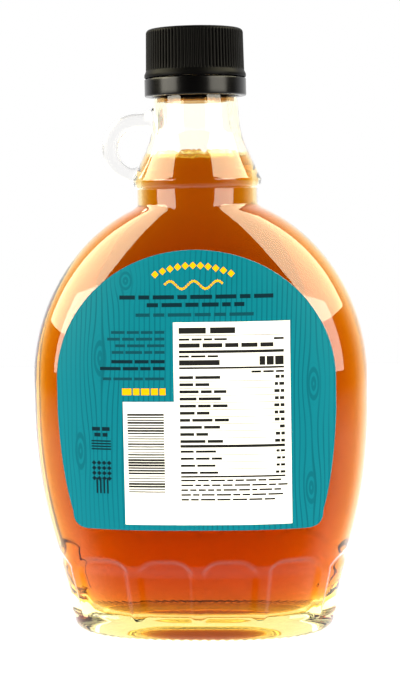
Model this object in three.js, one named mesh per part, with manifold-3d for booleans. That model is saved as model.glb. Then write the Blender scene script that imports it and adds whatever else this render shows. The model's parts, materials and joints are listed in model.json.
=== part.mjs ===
// A flask of maple syrup: clear glass with a loop handle, filled to the neck and shut by a screw cap.
// Millimetres, +Z up, front to -Y, origin on the floor under the middle of the bottle.
import * as THREE from "three";
import { mergeVertices } from "three/addons/utils/BufferGeometryUtils.js";
import Module from "manifold-3d";

const wasm = await Module();
wasm.setup();

// Body of the flask: half sizes of its oval outline, and the heights where its curves change.
const BODY_HALF_WIDTH = 50;
const BODY_HALF_DEPTH = 26;
const BODY_SQUARENESS = 2.7;
const BELLY_LOW = 65;
const BELLY_HIGH = 75;
const BELLY_RADIUS = 136;
const SHOULDER_RISE = 55.5;
const FACE_BEND_HEIGHT = 68;
const FACE_RISE = 77;
const WALL = 3;

// Foot: tapered, with a small ledge above it and arched panels pressed into it.
const FOOT_HALF_WIDTH = 38.9;
const FOOT_HALF_DEPTH = 22.6;
const FOOT_TOP_HALF_WIDTH = 43.8;
const FOOT_TOP_HALF_DEPTH = 25;
const LEDGE_LOW = 20;
const LEDGE_HIGH = 24.5;
const HEEL_RADIUS = 3;
const PUSH_UP = 1.4;
const FLOOR_THICKNESS = 4.2;
const FLOOR_CORNER = 14;
const PANEL_PITCH = 18.4;
const PANELS_PER_FACE = 4;
const PANEL_DEPTH = 0.75;
const PANEL_BEVEL = 1.5;
const PANEL_LOW = 6.5;
const PANEL_ARCH_TOP = 25.6;
const PANEL_ARCH_RISE = 4.2;
const RIB_HALF_WIDTH = 1.2;

// Neck: a waist on the shoulder, a rounded rim over it, a bell above the rim and a plain finish in the cap.
const WAIST_RADIUS = 17.9;
const RIM_RADIUS = 19.2;
const RIM_HEIGHT = 134.6;
const RIM_DROP = 2.6;
const BELL_SLOPE = 0.47;
const NECK_RADIUS = 12.35;
const NECK_SLOPE = 0.08;
const NECK_TOP = 158.5;
const FINISH_RADIUS = 12.35;
const MOUTH_HEIGHT = 174.4;

// Handle: half a ring of round glass beside the bell, with a short straight lead into the neck.
const HANDLE_CENTRE_X = -17.6;
const HANDLE_CENTRE_Z = 143.9;
const HANDLE_RADIUS = 8.15;
const HANDLE_THICKNESS = 5;
const HANDLE_FLARE = 1.3;
const HANDLE_FLARE_LENGTH = 3.4;

// Filling and closure.
const FILL_HEIGHT = 141.2;
const FIT_GAP = 0.3;
const CAP_RIBS = 84;
const CAP_RIB_DEPTH = 0.38;
const CAP_TOP = 178.6;
const CAP_CROWN = 0.5;
const CAP_TOP_RADIUS = 14.3;
const CAP_EDGE = 1.1;
const CAP_SKIRT_RADIUS = 14.5;
const CAP_RIB_LOW = 166.5;
const CAP_LOW = 164.5;
const CAP_BORE_RADIUS = 13;
const CAP_BORE_TOP = 174.9;
const BAND_RADIUS = 15;
const BAND_BORE_RADIUS = 12.85;
const BAND_LOW = 159;
const BAND_HIGH = 164.15;

// Labels: one on each broad face, arched above like the shoulder and rounded below; the rear one is smaller.
const LABEL_LOW = 34.3;
const LABEL_HIGH = 114.6;
const LABEL_HALF_WIDTH = 40.4;
const LABEL_WIDEST = 68;
const LABEL_ARCH_FROM = 77.5;
const LABEL_FOOT_HALF_WIDTH = 36.4;
const LABEL_CORNER = 4.8;
const LABEL_THICKNESS = 0.35;
const LABEL_GAP = 0.4;
const REAR_LABEL_SHARE = 0.76;
const REAR_LABEL_PIVOT = 66.25;

const PLAIN_COLUMNS = 36;
const ROUND_COLUMNS = 48;

const { max, min, sqrt, hypot, abs, sin, cos, PI } = Math;
const mix = THREE.MathUtils.lerp;
const ramp = THREE.MathUtils.smoothstep;

// The greater of two values, with a rounded change from one to the other.
function smoothMax(a, b, roundness) {
  const blend = max(roundness - abs(a - b), 0) / roundness;
  return max(a, b) + blend * blend * roundness * 0.25;
}

// How far an arc has dropped below its crown at this distance from it.
function sagitta(radius, distance) {
  return radius - sqrt(radius * radius - distance * distance);
}

// A quarter ellipse: full size at no rise, nothing at the full rise.
function quarterEllipse(size, rise, fullRise) {
  const share = min(max(rise / fullRise, 0), 1);
  return size * sqrt(1 - share * share);
}

// Radius of the round part from the waist up; the bore follows it without the rim.
function neckRadius(height, withRim) {
  const up = height - RIM_HEIGHT;
  const bell = RIM_RADIUS - BELL_SLOPE * up;
  const neck = NECK_RADIUS + NECK_SLOPE * (NECK_TOP - height);
  if (height > NECK_TOP) return FINISH_RADIUS;
  if (up >= 0) return withRim ? smoothMax(bell, neck, 1.6) : min(WAIST_RADIUS, smoothMax(bell, neck, 1.6));
  return withRim ? WAIST_RADIUS + quarterEllipse(RIM_RADIUS - WAIST_RADIUS, -up, RIM_DROP) : WAIST_RADIUS;
}

// Half-width of the oval part: tapered foot, ledge, long belly arc and elliptic shoulder.
function bodyHalfWidth(height) {
  if (height > BELLY_HIGH) return quarterEllipse(BODY_HALF_WIDTH, height - BELLY_HIGH, SHOULDER_RISE);
  const belly = BODY_HALF_WIDTH - sagitta(BELLY_RADIUS, max(BELLY_LOW - height, 0));
  const foot = mix(FOOT_HALF_WIDTH, FOOT_TOP_HALF_WIDTH, height / LEDGE_LOW);
  return mix(foot, belly, ramp(height, LEDGE_LOW, LEDGE_HIGH));
}

// Half-depth of the oval part: the same foot and ledge under a face that leans back to the waist.
function bodyHalfDepth(height) {
  const face = quarterEllipse(BODY_HALF_DEPTH, max(height - FACE_BEND_HEIGHT, 0), FACE_RISE);
  const foot = mix(FOOT_HALF_DEPTH, FOOT_TOP_HALF_DEPTH, height / LEDGE_LOW);
  return mix(foot, face, ramp(height, LEDGE_LOW, LEDGE_HIGH));
}

// The bottle's outline at a height: half-width, half-depth and squareness, pulled in by an inset.
function outlineAt(height, inset, withRim) {
  const round = neckRadius(max(height, RIM_HEIGHT - RIM_DROP * 2), withRim);
  const above = height > RIM_HEIGHT - RIM_DROP;
  const width = above ? round : smoothMax(bodyHalfWidth(height), WAIST_RADIUS, 2);
  const depth = above ? round : smoothMax(bodyHalfDepth(height), WAIST_RADIUS, 3.5);
  const squareness = mix(BODY_SQUARENESS, 2, ramp(height, BELLY_HIGH, BELLY_HIGH + SHOULDER_RISE - 5));
  return { width: width - inset, depth: depth - inset, squareness };
}

// A point of an outline, at an angle that is shared by every height.
function outlinePoint({ width, depth, squareness }, angle) {
  const across = width * cos(angle);
  const along = depth * sin(angle);
  const reach = (abs(across / width) ** squareness + abs(along / depth) ** squareness) ** (1 / squareness);
  return [across / reach, along / reach];
}

// The foot's outline as a list of arc lengths, so that ribs can be set out along it.
const footOutline = outlineAt((PANEL_LOW + LEDGE_LOW) / 2, 0, true);
const footAngles = Array.from({ length: 1441 }, (_, i) => (i / 720) * PI);
const footLengths = [0];
for (let i = 1; i < footAngles.length; i++) {
  const [x, y] = outlinePoint(footOutline, footAngles[i]);
  const [lastX, lastY] = outlinePoint(footOutline, footAngles[i - 1]);
  footLengths.push(footLengths[i - 1] + hypot(x - lastX, y - lastY));
}
const FOOT_LENGTH = footLengths.at(-1);

function angleAtLength(length) {
  const i = max(footLengths.findIndex((reached) => reached >= length), 1);
  const share = (length - footLengths[i - 1]) / (footLengths[i] - footLengths[i - 1]);
  return mix(footAngles[i - 1], footAngles[i], share);
}

// Panels round the foot, each from rib to rib: four on each face and a wide one at each side.
const faceSpan = PANEL_PITCH * PANELS_PER_FACE;
const sideSpan = FOOT_LENGTH / 2 - faceSpan;
const panelStarts = [];
for (const half of [0, 1]) {
  const start = half * (FOOT_LENGTH / 2) + sideSpan / 2;
  for (let i = 0; i <= PANELS_PER_FACE; i++) panelStarts.push(start + i * PANEL_PITCH);
}
const panels = panelStarts.map((start, i) => ({
  start,
  span: (i % (PANELS_PER_FACE + 1) === PANELS_PER_FACE ? sideSpan : PANEL_PITCH),
}));

// Columns of the glass: at each rib's middle and edges, at the foot of each bevel, and evenly between.
const glassColumns = panels.flatMap(({ start, span }) => {
  const edges = [0, RIB_HALF_WIDTH, RIB_HALF_WIDTH + PANEL_BEVEL];
  const inside = span - 2 * (RIB_HALF_WIDTH + PANEL_BEVEL);
  const between = span > PANEL_PITCH ? 5 : 2;
  for (let i = 1; i <= between; i++) edges.push(edges[2] + (inside * i) / (between + 1));
  edges.push(span - RIB_HALF_WIDTH - PANEL_BEVEL, span - RIB_HALF_WIDTH);
  return edges.map((edge) => ({ angle: angleAtLength((start + edge) % FOOT_LENGTH), edge, span }));
});
const plainColumns = Array.from({ length: PLAIN_COLUMNS }, (_, i) => ({ angle: (i / PLAIN_COLUMNS) * 2 * PI }));

// Depth of the pressed panel at a place between two ribs: full inside, none on the rib, bevelled between.
function panelRecess(edge, span, height) {
  const half = span / 2 - RIB_HALF_WIDTH;
  const share = (edge - span / 2) / half;
  const archTop = PANEL_ARCH_TOP - PANEL_ARCH_RISE * share ** 4;
  const inward = min(half - abs(edge - span / 2), archTop - height, height - PANEL_LOW);
  return PANEL_DEPTH * min(max(inward / PANEL_BEVEL, 0), 1);
}

// A lathe of the given rings whose turns are pressed to the bottle's oval outline.
function pressed(rings, columns, withRim) {
  const profile = rings.map(({ height, scale = 1 }) => new THREE.Vector2(scale, height));
  const lathe = new THREE.LatheGeometry(profile, columns.length);
  const position = lathe.getAttribute("position");
  rings.forEach(({ height, inset = 0, scale = 1, lift = 0, panelled = false }, j) => {
    const outline = outlineAt(height, inset, withRim);
    for (let i = 0; i <= columns.length; i++) {
      const { angle, edge, span } = columns[i % columns.length];
      const recess = panelled ? panelRecess(edge, span, height) : 0;
      const [x, y] = outlinePoint(outline, angle);
      const shrink = scale * (1 - recess / hypot(x, y));
      position.setXYZ(i * rings.length + j, x * shrink, y * shrink, height + lift);
    }
  });
  return lathe;
}

// A closed three.js geometry as a solid for cutting and joining.
function solid(geometry) {
  const bare = geometry.clone();
  for (const name of Object.keys(bare.attributes)) if (name !== "position") bare.deleteAttribute(name);
  const merged = mergeVertices(bare, 1e-4);
  const triVerts = new Uint32Array(merged.index.array);
  const vertProperties = merged.attributes.position.array;
  return new wasm.Manifold(new wasm.Mesh({ numProp: 3, vertProperties, triVerts }));
}

// A solid back to a three.js geometry.
function geometryOf(shape) {
  const { vertProperties, triVerts } = shape.getMesh();
  const geometry = new THREE.BufferGeometry();
  geometry.setAttribute("position", new THREE.BufferAttribute(new Float32Array(vertProperties), 3));
  geometry.setIndex(new THREE.BufferAttribute(new Uint32Array(triVerts), 1));
  return geometry;
}

// A ring turned about the bottle's axis from radius and height pairs.
function turned(pairs, columns) {
  const lathe = new THREE.LatheGeometry(pairs.map(([r, z]) => new THREE.Vector2(r, z)), columns);
  return lathe.rotateX(PI / 2);
}

// Glass: the outer form from the push-up over the heel to the mouth.
const heelRings = [0, 0.35, 1.2].map((height) => ({
  height,
  inset: sagitta(HEEL_RADIUS, HEEL_RADIUS - height),
}));
const footHeights = [4.6, PANEL_LOW, PANEL_LOW + PANEL_BEVEL, 19, 20.8, 22.5, 24, PANEL_ARCH_TOP];
const bodyHeights = [30, 40, 52, BELLY_LOW, BELLY_HIGH, 85, 94, 102, 109, 115, 119.5, 123, 125.4];
const neckHeights = [126.8, 128, 131.98, 132.3, 133.2, RIM_HEIGHT, 143.5, 145.8, 148.5, NECK_TOP];
const outerRings = [
  { height: 0, scale: 0, lift: PUSH_UP },
  { height: 0, scale: 0.55, lift: PUSH_UP * 0.8, inset: HEEL_RADIUS },
  { height: 0, scale: 0.86, inset: HEEL_RADIUS },
  ...heelRings,
  ...footHeights.map((height) => ({ height, panelled: true })),
  ...[...bodyHeights, ...neckHeights, MOUTH_HEIGHT].map((height) => ({ height })),
  { height: MOUTH_HEIGHT, scale: 0 },
];

// Inside: the wall's thickness within the outer form, with a rounded floor, up to the bore of the finish.
function innerRings(extra, top) {
  const floor = FLOOR_THICKNESS + extra;
  const corner = [0, 0.06, 0.25, 0.55, 1].map((share) => {
    const height = floor + FLOOR_CORNER * share;
    return { height, inset: WALL + extra + sagitta(FLOOR_CORNER, FLOOR_CORNER * (1 - share)) };
  });
  const walls = [26, 44, BELLY_LOW, BELLY_HIGH, 88, 99, 108, 115, 120, 124, 127, 137, 143.5, 148.5, NECK_TOP];
  const kept = walls.filter((height) => height < top - 1);
  const rings = [{ height: floor, scale: 0, inset: WALL }, ...corner];
  rings.push(...[...kept, top].map((height) => ({ height, inset: WALL + extra })));
  rings.push({ height: top, scale: 0 });
  return rings;
}
const cavity = solid(pressed(innerRings(0, MOUTH_HEIGHT + 2), plainColumns, false));

// Handle: a round section swept along half a ring and the straight lead, flared where it meets the neck.
class HandleLine extends THREE.Curve {
  getPoint(t) {
    const lead = 6;
    const arc = PI * HANDLE_RADIUS * 1.12;
    const run = t * (lead + arc);
    const turn = PI / 2 + max(run - lead, 0) / HANDLE_RADIUS;
    const x = HANDLE_CENTRE_X + HANDLE_RADIUS * cos(turn) + max(lead - run, 0);
    return new THREE.Vector3(x, 0, HANDLE_CENTRE_Z + HANDLE_RADIUS * sin(turn));
  }
}
const handleSection = new THREE.Shape().absarc(0, 0, HANDLE_THICKNESS / 2, 0, 2 * PI);
const handleSweep = new THREE.ExtrudeGeometry(handleSection, {
  extrudePath: new HandleLine(),
  steps: 22,
  curveSegments: 7,
  bevelEnabled: false,
});
const flare = new THREE.CylinderGeometry(
  HANDLE_THICKNESS / 2 + HANDLE_FLARE,
  HANDLE_THICKNESS / 2 - 0.1,
  HANDLE_FLARE_LENGTH,
  16,
);
flare.rotateZ(-PI / 2).translate(-neckRadius(152, true) + 0.4 - HANDLE_FLARE_LENGTH / 2 + 0.6, 0, 0);
flare.translate(0, 0, HANDLE_CENTRE_Z + HANDLE_RADIUS);
const outer = solid(pressed(outerRings, glassColumns, true));
const bottle = outer.add(solid(handleSweep)).add(solid(flare)).subtract(cavity);

// Syrup: the inside less a fine gap, up to the fill height.
const syrup = solid(pressed(innerRings(FIT_GAP, FILL_HEIGHT), plainColumns, false));

// Cap: ribbed skirt under a softly crowned top, bored for the bottle's finish.
const capRings = [
  [0, CAP_LOW],
  [BAND_RADIUS, CAP_LOW],
  [BAND_RADIUS, CAP_LOW + 0.7],
  [CAP_SKIRT_RADIUS, CAP_RIB_LOW],
  [CAP_TOP_RADIUS, CAP_TOP - CAP_EDGE],
  [CAP_TOP_RADIUS - CAP_EDGE, CAP_TOP],
  [0, CAP_TOP + CAP_CROWN],
];
const capLathe = turned(capRings, CAP_RIBS * 2);
const capPosition = capLathe.getAttribute("position");
for (let i = 1; i < CAP_RIBS * 2; i += 2) {
  for (const j of [3, 4]) {
    const k = i * capRings.length + j;
    const keep = 1 - CAP_RIB_DEPTH / CAP_SKIRT_RADIUS;
    capPosition.setXY(k, capPosition.getX(k) * keep, capPosition.getY(k) * keep);
  }
}
const boreLength = CAP_BORE_TOP - CAP_LOW + 1;
const capBore = new THREE.CylinderGeometry(CAP_BORE_RADIUS, CAP_BORE_RADIUS, boreLength, ROUND_COLUMNS);
capBore.rotateX(PI / 2).translate(0, 0, CAP_BORE_TOP - boreLength / 2);
const cap = solid(capLathe).subtract(solid(capBore));

// Tamper band: a plain ring under the cap, with rounded lower edge.
const bandRings = [
  [BAND_BORE_RADIUS, BAND_LOW + 0.3],
  [BAND_BORE_RADIUS + 0.5, BAND_LOW],
  [BAND_RADIUS - 0.5, BAND_LOW],
  [BAND_RADIUS, BAND_LOW + 0.5],
  [BAND_RADIUS, BAND_HIGH],
  [BAND_BORE_RADIUS, BAND_HIGH],
  [BAND_BORE_RADIUS, BAND_LOW + 0.3],
];
const band = solid(turned(bandRings, ROUND_COLUMNS));

// Labels: a thin skin over the body, trimmed to the label's outline on one face.
function bodySkin(offset) {
  const heights = [26, 44, BELLY_LOW, BELLY_HIGH, 87, 98, 107, 114, 120];
  const rings = heights.map((height) => ({ height, inset: -offset }));
  return solid(pressed([{ height: 26, scale: 0 }, ...rings, { height: 120, scale: 0 }], plainColumns, true));
}
const labelSide = mix(LABEL_LOW, LABEL_WIDEST, 0.46);
const labelOutline = new THREE.Shape();
labelOutline.moveTo(-LABEL_FOOT_HALF_WIDTH + LABEL_CORNER, LABEL_LOW);
labelOutline.lineTo(LABEL_FOOT_HALF_WIDTH - LABEL_CORNER, LABEL_LOW);
labelOutline.quadraticCurveTo(LABEL_FOOT_HALF_WIDTH, LABEL_LOW, LABEL_FOOT_HALF_WIDTH, LABEL_LOW + LABEL_CORNER);
labelOutline.quadraticCurveTo(LABEL_HALF_WIDTH - 0.8, labelSide, LABEL_HALF_WIDTH, LABEL_WIDEST);
labelOutline.absellipse(0, LABEL_ARCH_FROM, LABEL_HALF_WIDTH, LABEL_HIGH - LABEL_ARCH_FROM, 0, PI, false, 0);
labelOutline.lineTo(-LABEL_HALF_WIDTH, LABEL_WIDEST);
labelOutline.quadraticCurveTo(0.8 - LABEL_HALF_WIDTH, labelSide, -LABEL_FOOT_HALF_WIDTH, LABEL_LOW + LABEL_CORNER);
labelOutline.quadraticCurveTo(-LABEL_FOOT_HALF_WIDTH, LABEL_LOW, LABEL_CORNER - LABEL_FOOT_HALF_WIDTH, LABEL_LOW);
const labelPrism = new THREE.ExtrudeGeometry(labelOutline, { depth: 60, curveSegments: 8, bevelEnabled: false });
labelPrism.rotateX(PI / 2);
const paper = bodySkin(LABEL_GAP + LABEL_THICKNESS).subtract(bodySkin(LABEL_GAP));
const frontPaper = paper.intersect(solid(labelPrism));
const rearPrism = labelPrism.clone().translate(0, 0, -REAR_LABEL_PIVOT);
rearPrism.scale(REAR_LABEL_SHARE, 1, REAR_LABEL_SHARE).translate(0, 0, REAR_LABEL_PIVOT).rotateZ(PI);
const rearPaper = paper.intersect(solid(rearPrism));

// Materials and the finished group.
const clearGlass = new THREE.MeshStandardMaterial({ color: 0xf4f8f6, roughness: 0.05, transparent: true, opacity: 0.35 });
const amber = new THREE.MeshStandardMaterial({ color: 0xb04a06, roughness: 0.1 });
const blackPlastic = new THREE.MeshStandardMaterial({ color: 0x141416, roughness: 0.45 });
const tealPaper = new THREE.MeshStandardMaterial({ color: 0x1f96a8, roughness: 0.6 });

const flask = new THREE.Group();
const pieces = [
  ["glass_bottle", bottle, clearGlass],
  ["maple_syrup", syrup, amber],
  ["screw_cap", cap, blackPlastic],
  ["tamper_band", band, blackPlastic],
  ["facts_label", frontPaper, tealPaper],
  ["plain_label", rearPaper, tealPaper],
];
for (const [name, shape, material] of pieces) {
  const mesh = new THREE.Mesh(geometryOf(shape), material);
  mesh.name = name;
  flask.add(mesh);
}

export default flask;
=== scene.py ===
"""A glass flask of maple syrup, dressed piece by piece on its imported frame, in metres."""

import json
import math

import bpy
import numpy as np
from mathutils import Matrix, Vector

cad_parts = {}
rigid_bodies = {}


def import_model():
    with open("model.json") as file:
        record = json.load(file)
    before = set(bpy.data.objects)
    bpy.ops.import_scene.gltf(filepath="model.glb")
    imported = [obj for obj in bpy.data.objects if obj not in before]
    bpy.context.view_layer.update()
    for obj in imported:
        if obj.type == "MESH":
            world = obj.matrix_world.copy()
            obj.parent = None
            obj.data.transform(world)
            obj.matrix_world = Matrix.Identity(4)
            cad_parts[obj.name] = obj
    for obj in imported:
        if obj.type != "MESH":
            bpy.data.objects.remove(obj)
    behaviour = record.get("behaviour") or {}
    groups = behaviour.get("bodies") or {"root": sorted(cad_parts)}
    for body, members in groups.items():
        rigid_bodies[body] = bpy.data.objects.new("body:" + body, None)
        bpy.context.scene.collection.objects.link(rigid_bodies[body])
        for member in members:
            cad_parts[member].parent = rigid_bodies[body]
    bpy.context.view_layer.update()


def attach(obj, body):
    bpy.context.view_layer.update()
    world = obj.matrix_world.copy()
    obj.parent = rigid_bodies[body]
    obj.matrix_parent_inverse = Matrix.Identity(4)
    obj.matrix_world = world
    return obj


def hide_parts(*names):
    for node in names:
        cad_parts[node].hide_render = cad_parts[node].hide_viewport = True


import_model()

# The flask: clear flint glass blown in a mould of two halves, which leave a fine seam up each side.
# An oval body leans in to a round waist and a bell neck; the tapered foot has arches pressed into it,
# a knurled edge to stand on, and a loop of the same glass is drawn onto the neck as a handle.
MM = 0.001
body_half_width, body_half_depth, body_squareness = 50.0, 26.0, 2.7
belly_low, belly_high, belly_radius, shoulder_rise = 65.0, 75.0, 136.0, 55.5
face_bend, face_rise = 68.0, 77.0
foot_half = (38.9, 22.6)
foot_top_half = (43.8, 25.0)
ledge_low, ledge_high = 20.0, 24.5
heel_radius, push_up = 3.0, 1.4
waist_radius, rim_radius, rim_height, rim_drop = 17.9, 19.2, 134.6, 2.6
bell_slope, neck_radius, neck_slope, neck_top = 0.47, 12.35, 0.08, 158.5
mouth_height = 174.4
wall, floor_thickness, floor_corner = 3.0, 4.2, 14.0


def eased(value, low, high):
    """Zero below low, one above high, with a soft start and end."""
    share = np.clip((value - low) / (high - low), 0.0, 1.0)
    return share * share * (3.0 - 2.0 * share)


def rounded_max(a, b, roundness):
    """The greater of two values, with a fillet where they change over."""
    blend = np.maximum(roundness - np.abs(a - b), 0.0) / roundness
    return np.maximum(a, b) + blend * blend * roundness * 0.25


def quarter_ellipse(size, rise, full_rise):
    share = np.clip(rise / full_rise, 0.0, 1.0)
    return size * np.sqrt(1.0 - share * share)


def sagitta(radius, distance):
    return radius - np.sqrt(radius * radius - distance * distance)


def round_radius(height, with_rim):
    """Radius of the round part from the waist up; the bore follows it without the rim."""
    up = height - rim_height
    bell = rounded_max(rim_radius - bell_slope * up, neck_radius + neck_slope * (neck_top - height), 1.6)
    bell = np.where(height > neck_top, neck_radius, bell)
    under = waist_radius + quarter_ellipse(rim_radius - waist_radius, -up, rim_drop)
    if with_rim:
        return np.where(up >= 0.0, bell, np.where(-up > rim_drop, waist_radius, under))
    return np.where(up >= 0.0, np.minimum(bell, waist_radius), waist_radius)


def outline_at(height, inset=0.0, with_rim=True):
    """Half-width, half-depth and squareness of the flask's outline at a height."""
    rise = eased(height, ledge_low, ledge_high)
    taper = height / ledge_low
    belly = body_half_width - sagitta(belly_radius, np.maximum(belly_low - height, 0.0))
    shoulder = quarter_ellipse(body_half_width, np.maximum(height - belly_high, 0.0), shoulder_rise)
    width = np.where(height > belly_high, shoulder, belly)
    width = width * rise + (foot_half[0] + (foot_top_half[0] - foot_half[0]) * taper) * (1.0 - rise)
    face = quarter_ellipse(body_half_depth, np.maximum(height - face_bend, 0.0), face_rise)
    depth = face * rise + (foot_half[1] + (foot_top_half[1] - foot_half[1]) * taper) * (1.0 - rise)
    above = height > rim_height - rim_drop
    ring = round_radius(height, with_rim)
    width = np.where(above, ring, rounded_max(width, waist_radius, 2.0)) - inset
    depth = np.where(above, ring, rounded_max(depth, waist_radius, 3.5)) - inset
    square = eased(height, belly_high, belly_high + shoulder_rise - 5.0)
    return width, depth, body_squareness + (2.0 - body_squareness) * square


def outline_points(width, depth, squareness, angles):
    """X and Y round an outline, at angles that every height shares."""
    across, along = np.cos(angles), np.sin(angles)
    reach = (np.abs(across) ** squareness + np.abs(along) ** squareness) ** (1.0 / squareness)
    return width * across / reach, depth * along / reach


def skinned(name, rings):
    """A closed mesh over rings of points in millimetres, from the pole of the first to that of the last."""
    rings = np.asarray(rings, float)
    count, columns = rings.shape[:2]
    points = np.vstack([rings[0].mean(0), rings.reshape(-1, 3), rings[-1].mean(0)]) * MM
    first = 1 + np.arange(columns)
    after = 1 + (np.arange(columns) + 1) % columns
    last = (count - 1) * columns
    faces = [(0, b, a) for a, b in zip(first.tolist(), after.tolist())]
    for i in range(count - 1):
        low, high = i * columns, (i + 1) * columns
        faces += [(a + low, b + low, b + high, a + high) for a, b in zip(first.tolist(), after.tolist())]
    faces += [(len(points) - 1, a + last, b + last) for a, b in zip(first.tolist(), after.tolist())]
    mesh = bpy.data.meshes.new(name)
    mesh.from_pydata(points.tolist(), [], faces)
    mesh.update()
    piece = bpy.data.objects.new(name, mesh)
    bpy.context.scene.collection.objects.link(piece)
    return piece


def made_plain(piece, sharp_degrees=38.0):
    """Turns a piece with modifiers into a plain, smoothly shaded mesh."""
    graph = bpy.context.evaluated_depsgraph_get()
    mesh = bpy.data.meshes.new_from_object(piece.evaluated_get(graph), depsgraph=graph)
    piece.modifiers.clear()
    piece.data = mesh
    mesh.name = piece.name
    mesh.shade_smooth()
    mesh.set_sharp_from_angle(angle=math.radians(sharp_degrees))
    return piece


panel_pitch, panels_per_face, panel_depth, panel_bevel = 18.4, 4, 0.75, 1.5
panel_low, arch_top, arch_rise, rib_half_width = 6.5, 25.6, 4.2, 1.2
knurls, knurl_depth = 76, 0.4
glass_columns = knurls * 6
around = np.linspace(0.0, 2.0 * math.pi, 2881)
foot_x, foot_y = outline_points(*outline_at((panel_low + ledge_low) / 2.0), around)
foot_run = np.concatenate([[0.0], np.cumsum(np.hypot(np.diff(foot_x), np.diff(foot_y)))])
foot_length = foot_run[-1]
runs = np.arange(glass_columns) * foot_length / glass_columns
glass_angles = np.interp(runs, foot_run, around)
side_span = foot_length / 2.0 - panel_pitch * panels_per_face
run_in_half = (runs - side_span / 2.0) % (foot_length / 2.0)
on_face = run_in_half < panel_pitch * panels_per_face
spans = np.where(on_face, panel_pitch, side_span)
edges = np.where(on_face, run_in_half % panel_pitch, run_in_half - panel_pitch * panels_per_face)


def panel_recess(height):
    """How deep the arched panels are pressed in at each column."""
    half = spans / 2.0 - rib_half_width
    off_middle = np.abs(edges - spans / 2.0)
    top = arch_top - arch_rise * (off_middle / half) ** 4
    inward = np.minimum(np.minimum(half - off_middle, top - height), height - panel_low)
    return panel_depth * eased(inward, -0.2, panel_bevel + 0.3)


def glass_ring(height, inset=0.0, scale=1.0, lift=0.0, knurl=0.0):
    x, y = outline_points(*outline_at(np.float64(height), inset), glass_angles)
    pull = scale * (1.0 - panel_recess(height) / np.maximum(np.hypot(x, y), 1.0))
    seam = np.exp(-((y / 0.9) ** 2)) - np.exp(-((y / 7.0) ** 2))
    pull = pull * (1.0 + 0.04 * seam / np.maximum(np.hypot(x, y), 1.0))
    ripple = knurl * knurl_depth * (0.5 - 0.5 * np.cos(runs * knurls / foot_length * 2.0 * math.pi))
    return np.column_stack([x * pull, y * pull, np.full_like(x, height + lift) + ripple])


glass_rings = []
for scale in (0.03, 0.15, 0.3, 0.42, 0.52, 0.6, 0.68, 0.75, 0.8, 0.84):
    glass_rings.append(glass_ring(0.0, heel_radius, scale, push_up * (1.0 - eased(scale, 0.3, 0.84))))
for scale, knurl in ((0.87, 0.0), (0.89, 0.5), (0.92, 1.0), (0.96, 1.0)):
    glass_rings.append(glass_ring(0.0, heel_radius, scale, 0.0, knurl))
for turn, knurl in ((0, 1.0), (14, 1.0), (26, 0.8), (38, 0.5), (50, 0.2), (62, 0.0), (76, 0.0)):
    height = heel_radius * (1.0 - math.cos(math.radians(turn)))
    glass_rings.append(glass_ring(height, heel_radius * (1.0 - math.sin(math.radians(turn))), 1.0, 0.0,
        knurl))
glass_heights = np.concatenate([
    np.linspace(3.2, 9.0, 13), np.linspace(10.5, 17.0, 5), np.linspace(18.0, 27.5, 24),
    np.linspace(30.0, 62.0, 12), np.linspace(65.0, 75.0, 4), np.linspace(78.0, 124.0, 26),
    np.linspace(125.0, 128.5, 9), np.linspace(129.5, 131.6, 3), np.linspace(131.99, 134.6, 10),
    np.linspace(135.4, 143.0, 9), np.linspace(143.8, 149.5, 10), np.linspace(151.0, 158.5, 6),
    [158.6, 166.0, mouth_height - 0.6, mouth_height - 0.15]])
glass_rings += [glass_ring(height) for height in glass_heights]
glass_rings += [glass_ring(mouth_height, inset) for inset in (0.6, 2.0, 5.0, 9.0)]
flask = skinned("glass_flask", glass_rings)


def bore_rings(height_top, inset_extra, columns):
    """Rings up the inside of the flask: rounded floor, smooth wall, bore of the neck."""
    angles = np.arange(columns) * 2.0 * math.pi / columns
    floor = floor_thickness + inset_extra
    levels = []
    for turn in np.linspace(6.0, 90.0, 14):
        height = floor + floor_corner * (1.0 - math.cos(math.radians(turn)))
        levels.append((height, wall + inset_extra + floor_corner * (1.0 - math.sin(math.radians(turn)))))
    heights = np.concatenate([np.linspace(24.0, 75.0, 16), np.linspace(79.0, 122.0, 22),
        np.linspace(123.2, 128.0, 7),
                              np.linspace(130.0, 137.0, 6), np.linspace(138.0, 152.0, 20),
                              [155.0, 158.4, 160.0]])
    levels += [(height, wall + inset_extra) for height in heights if height < height_top - 0.4]
    levels.append((height_top, wall + inset_extra))
    rings = []
    first = np.float64(levels[0][0]), levels[0][1]
    for share in (0.05, 0.25, 0.5, 0.75, 0.92):
        x, y = outline_points(*outline_at(first[0], first[1], False), angles)
        rings.append(np.column_stack([x * share, y * share, np.full(columns, floor)]))
    for height, inset in levels:
        x, y = outline_points(*outline_at(np.float64(height), inset, False), angles)
        rings.append(np.column_stack([x, y, np.full(columns, height)]))
    return rings


inside = bore_rings(mouth_height + 2.0, 0.0, 192)
inside.append(inside[-1] * (0.05, 0.05, 1.0))
hollow = skinned("flask_inside", inside)

handle_x, handle_z, handle_ring, handle_thick, handle_lead = -17.6, 143.9, 8.15, 5.0, 6.0
handle_sweep = 1.12 * math.pi * handle_ring
handle_rings = []
section = np.linspace(0.0, 2.0 * math.pi, 40, endpoint=False)
for run in np.linspace(0.0, handle_lead + handle_sweep, 72):
    turn = math.pi / 2.0 + max(run - handle_lead, 0.0) / handle_ring
    flare = 1.6 * (1.0 - eased(run, 0.6, 4.2)) + 0.9 * eased(run, handle_lead + 22.0, handle_lead + 27.0)
    radius = handle_thick / 2.0 + flare
    outward = radius * np.cos(section) + handle_ring
    x = handle_x + outward * math.cos(turn) + max(handle_lead - run, 0.0)
    z = handle_z + outward * math.sin(turn)
    handle_rings.append(np.column_stack([x, -radius * np.sin(section), z]))
loop = skinned("handle_loop", handle_rings)

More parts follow.
